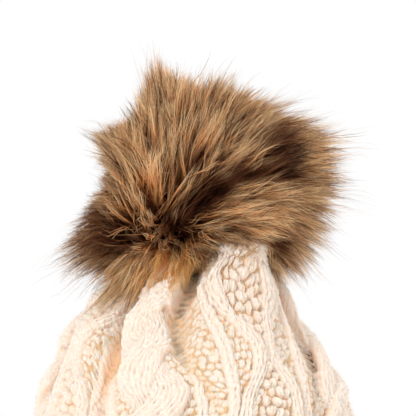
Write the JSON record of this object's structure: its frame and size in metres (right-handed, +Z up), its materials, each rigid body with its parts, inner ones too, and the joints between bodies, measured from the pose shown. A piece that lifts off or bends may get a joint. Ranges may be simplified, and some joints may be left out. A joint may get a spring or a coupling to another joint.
{
  "type": "pom pom beanie",
  "caption": "Lined cable-knit winter hat with a ribbed turned cuff, a gathered crown and a large faux-fur pom pom held by a press stud.",
  "frame": {"origin": "centre of the hat's opening, on the plane of its rim", "axes": "+Z up through the crown to the pom pom; -Y is the front of the hat and +X the wearer's left"},
  "size_m": [0.1976, 0.2252, 0.317],
  "materials": {
    "yarn": "matte",
    "fleece": "matte",
    "label": "satin",
    "snap": "satin",
    "felt": "matte",
    "cord": "matte",
    "fibre": "matte",
    "fur": "matte"
  },
  "bodies": {
    "hat": {"knit_body": "yarn", "lining_front": "fleece", "lining_left": "fleece", "lining_back": "fleece", "lining_right": "fleece", "care_label": "label"},
    "cuff": {"turned_cuff": "yarn"},
    "crown_tip": {"crown_gather_yarn": "yarn"},
    "stud": {"snap_stud": "snap", "snap_stud_cap": "snap"},
    "snap_ring": {"snap_ring_spring": "snap"},
    "pom": {"snap_socket": "snap", "snap_socket_cap": "snap", "pom_backing_disc": "felt", "pom_gather_cord": "cord", "pom_filling": "fibre", "pom_fur_cover": "fur"}
  },
  "joints": [
    {"name": "cuff_turn_down", "type": "slide", "parent": "hat", "child": "cuff", "axis": [0, 0, -1], "range_m": [0, 0.058]},
    {"name": "pom_nod", "type": "hinge", "parent": "hat", "child": "crown_tip", "pos_m": [0, 0, 0.2055], "axis": [1, 0, 0], "range_deg": [-12, 12], "stiffness_Nm_per_rad": 0.6},
    {"name": "pom_lean", "type": "hinge", "parent": "crown_tip", "child": "stud", "pos_m": [0, 0, 0.2055], "axis": [0, 1, 0], "range_deg": [-12, 12], "stiffness_Nm_per_rad": 0.6},
    {"name": "pom_pull_off", "type": "slide", "parent": "stud", "child": "snap_ring", "axis": [0, 0, 1], "range_m": [0, 0.06]},
    {"name": "pom_spin", "type": "hinge", "parent": "snap_ring", "child": "pom", "pos_m": [0, 0, 0.2084], "axis": [0, 0, 1], "continuous": true}
  ]
}
